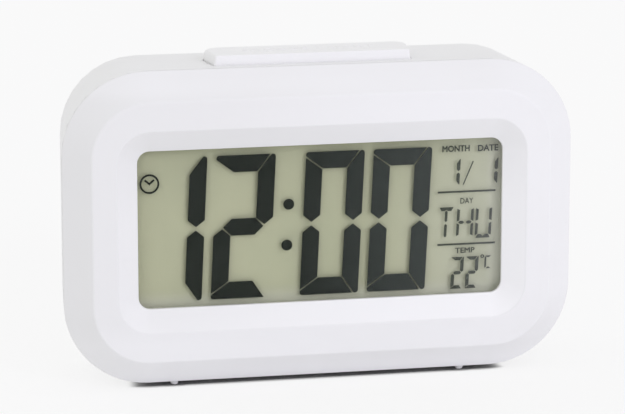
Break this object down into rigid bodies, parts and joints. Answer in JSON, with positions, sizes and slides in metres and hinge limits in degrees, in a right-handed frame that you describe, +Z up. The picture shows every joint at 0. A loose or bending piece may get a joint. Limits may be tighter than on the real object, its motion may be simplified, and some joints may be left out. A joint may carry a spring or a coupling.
{
  "type": "digital alarm clock",
  "caption": "White bedside alarm clock with a large segmented display in a chamfered bezel, a snooze bar on top, and keys, alarm switch and battery door on the back.",
  "frame": {"origin": "on the surface it stands on, below the middle of the case", "axes": "+Z up, +X to the viewer's right, the display faces -Y"},
  "size_m": [0.135, 0.036, 0.0866],
  "materials": {
    "white_plastic": "satin moulded white with a fine texture",
    "screw_steel": "zinc plated",
    "display_film": "clear film with a soft sheen",
    "display_glass": "clear",
    "display_figures": "dark greenish black",
    "reflector_film": "greenish grey",
    "clear_plastic": "clear acrylic",
    "lamp_resin": "pale resin",
    "contact_rubber": "dull",
    "board_laminate": "green solder mask",
    "black_plastic": "dull black",
    "ivory_plastic": "dull ivory",
    "grey_plastic": "satin grey",
    "bright_metal": "nickel plated",
    "sounder_brass": "plain brass",
    "sounder_ceramic": "silvered ceramic",
    "cell_wrap": "printed film, plain"
  },
  "bodies": {
    "clock": {"front_shell": "white_plastic", "rear_shell": "white_plastic", "lcd_holder": "white_plastic", "case_screws": "screw_steel", "board_screws": "screw_steel", "lcd_polariser": "display_film", "lcd_front_glass": "display_glass", "lcd_rear_glass": "display_glass", "lcd_figures": "display_figures", "lcd_reflector": "reflector_film", "light_guide": "clear_plastic", "backlight_lamps": "lamp_resin", "contact_strip": "contact_rubber", "main_board": "board_laminate", "snooze_board": "board_laminate", "chip_resin": "black_plastic", "quartz_crystal": "bright_metal", "capacitor": "black_plastic", "thermistor": "black_plastic", "key_switches": "black_plastic", "snooze_switch": "black_plastic", "alarm_switch": "bright_metal", "sounder_plate": "sounder_brass", "sounder_ceramic": "sounder_ceramic", "sounder_springs": "bright_metal", "cell_upper": "cell_wrap", "cell_lower": "cell_wrap", "negative_contact": "bright_metal", "negative_spring": "bright_metal", "positive_contact": "bright_metal", "bridge_contact": "bright_metal", "bridge_spring": "bright_metal"},
    "snooze": {"snooze_bar": "white_plastic", "snooze_plunger": "ivory_plastic"},
    "mode": {"mode_key": "grey_plastic", "mode_plunger": "ivory_plastic"},
    "set": {"set_key": "grey_plastic", "set_plunger": "ivory_plastic"},
    "up": {"up_key": "grey_plastic", "up_plunger": "ivory_plastic"},
    "down": {"down_key": "grey_plastic", "down_plunger": "ivory_plastic"},
    "alarm_slider": {"alarm_knob": "grey_plastic", "alarm_actuator": "black_plastic"},
    "door": {"battery_door": "white_plastic"}
  },
  "joints": [
    {"name": "snooze_press", "type": "slide", "parent": "clock", "child": "snooze", "axis": [0, 0, -1], "range_m": [0, 0.0008], "stiffness_N_per_m": 1500, "springref_m": -0.0005},
    {"name": "mode_press", "type": "slide", "parent": "clock", "child": "mode", "axis": [0, -1, 0], "range_m": [0, 0.0006], "stiffness_N_per_m": 1200, "springref_m": -0.0004},
    {"name": "set_press", "type": "slide", "parent": "clock", "child": "set", "axis": [0, -1, 0], "range_m": [0, 0.0006], "stiffness_N_per_m": 1200, "springref_m": -0.0004},
    {"name": "up_press", "type": "slide", "parent": "clock", "child": "up", "axis": [0, -1, 0], "range_m": [0, 0.0006], "stiffness_N_per_m": 1200, "springref_m": -0.0004},
    {"name": "down_press", "type": "slide", "parent": "clock", "child": "down", "axis": [0, -1, 0], "range_m": [0, 0.0006], "stiffness_N_per_m": 1200, "springref_m": -0.0004},
    {"name": "alarm_slide", "type": "slide", "parent": "clock", "child": "alarm_slider", "axis": [1, 0, 0], "range_m": [0, 0.004]},
    {"name": "door_swing", "type": "hinge", "parent": "clock", "child": "door", "pos_m": [0, 0.0171, 0.0132], "axis": [-1, 0, 0], "range_deg": [0, 90]}
  ]
}
